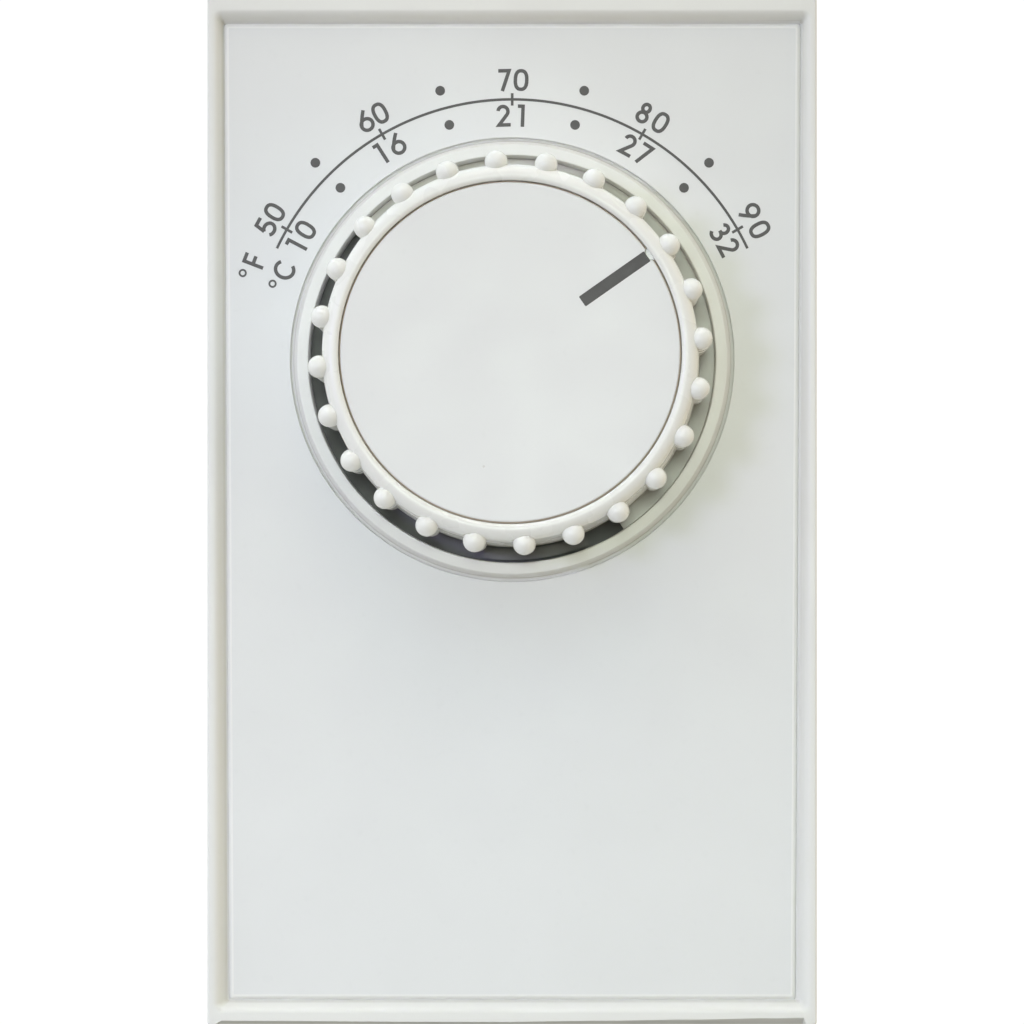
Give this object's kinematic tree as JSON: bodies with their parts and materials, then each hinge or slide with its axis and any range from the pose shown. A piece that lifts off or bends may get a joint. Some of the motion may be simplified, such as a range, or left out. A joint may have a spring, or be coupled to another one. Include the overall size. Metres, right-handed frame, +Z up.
{
  "type": "wall thermostat",
  "caption": "Dial-set wall thermostat: framed box cover, bevelled face plate, round ribbed knob with a pointer, air slots, and a bimetal snap switch inside.",
  "frame": {"origin": "centre of the base plate's back face, on the wall", "axes": "+Y into the wall, so the dial faces -Y; +Z up the wall along the cover's long side; +X to the viewer's right"},
  "size_m": [0.0688, 0.0447, 0.116],
  "materials": {
    "ivory_plastic": "satin moulded ABS, off-white",
    "face_plate_plastic": "fine satin, light grey-white",
    "black_phenolic": "moulded black phenolic",
    "zinc_steel": "bright zinc plate",
    "brass": "plain brass",
    "copper_alloy": "rolled copper alloy strip",
    "silver": "silver contact face",
    "ceramic": "fired steatite",
    "ferrite": "sintered ferrite"
  },
  "bodies": {
    "housing": {"front_cover": "ivory_plastic", "face_plate": "face_plate_plastic", "base_plate": "ivory_plastic", "cover_screw": "zinc_steel", "dial_well": "black_phenolic", "bushing": "brass", "bushing_nut": "brass", "friction_washer": "zinc_steel", "mechanism_frame": "zinc_steel", "switch_base": "black_phenolic", "switch_base_screw_left": "zinc_steel", "switch_base_screw_right": "zinc_steel", "frame_screw_left": "zinc_steel", "frame_screw_right": "zinc_steel", "lever_pin": "zinc_steel", "range_spring": "zinc_steel", "blade_rivet": "zinc_steel", "fixed_contact": "silver", "magnet": "ferrite", "line_terminal": "brass", "load_terminal": "brass", "terminal_screw_line": "zinc_steel", "terminal_screw_load": "zinc_steel", "clamp_washer_line": "zinc_steel", "clamp_washer_load": "zinc_steel"},
    "dial": {"knob": "ivory_plastic", "knob_disc": "face_plate_plastic", "stop_ring": "ivory_plastic", "dial_shaft": "zinc_steel", "shaft_clip": "zinc_steel", "range_cam": "brass"},
    "lever": {"range_lever": "zinc_steel", "calibration_screw": "brass", "bimetal_rivet_inner": "zinc_steel", "bimetal_rivet_outer": "zinc_steel"},
    "bimetal_strip": {"bimetal": "copper_alloy", "push_pin": "ceramic"},
    "switch_blade": {"contact_blade": "copper_alloy", "moving_contact": "silver", "armature": "zinc_steel"}
  },
  "joints": [
    {"name": "dial_turn", "type": "hinge", "parent": "housing", "child": "dial", "pos_m": [0, -0.035, 0.01715], "axis": [0, 1, 0], "range_deg": [-119, 9]},
    {"name": "lever_swing", "type": "hinge", "parent": "housing", "child": "lever", "pos_m": [-0.019, -0.014, 0.006], "axis": [0, 1, 0], "range_deg": [-2.25, 0.18]},
    {"name": "bimetal_flex", "type": "hinge", "parent": "lever", "child": "bimetal_strip", "pos_m": [0.011, -0.011, 0.0026], "axis": [0, 1, 0], "range_deg": [0, 0.6]},
    {"name": "blade_flex", "type": "hinge", "parent": "housing", "child": "switch_blade", "pos_m": [-0.02, -0.011, -0.01325], "axis": [0, 1, 0], "range_deg": [-0.95, 0]}
  ],
  "couplings": [
    {"joint": "lever_swing", "follows": "dial_turn", "ratio": 0.01884},
    {"joint": "blade_flex", "follows": "bimetal_flex", "ratio": -1.5833}
  ]
}
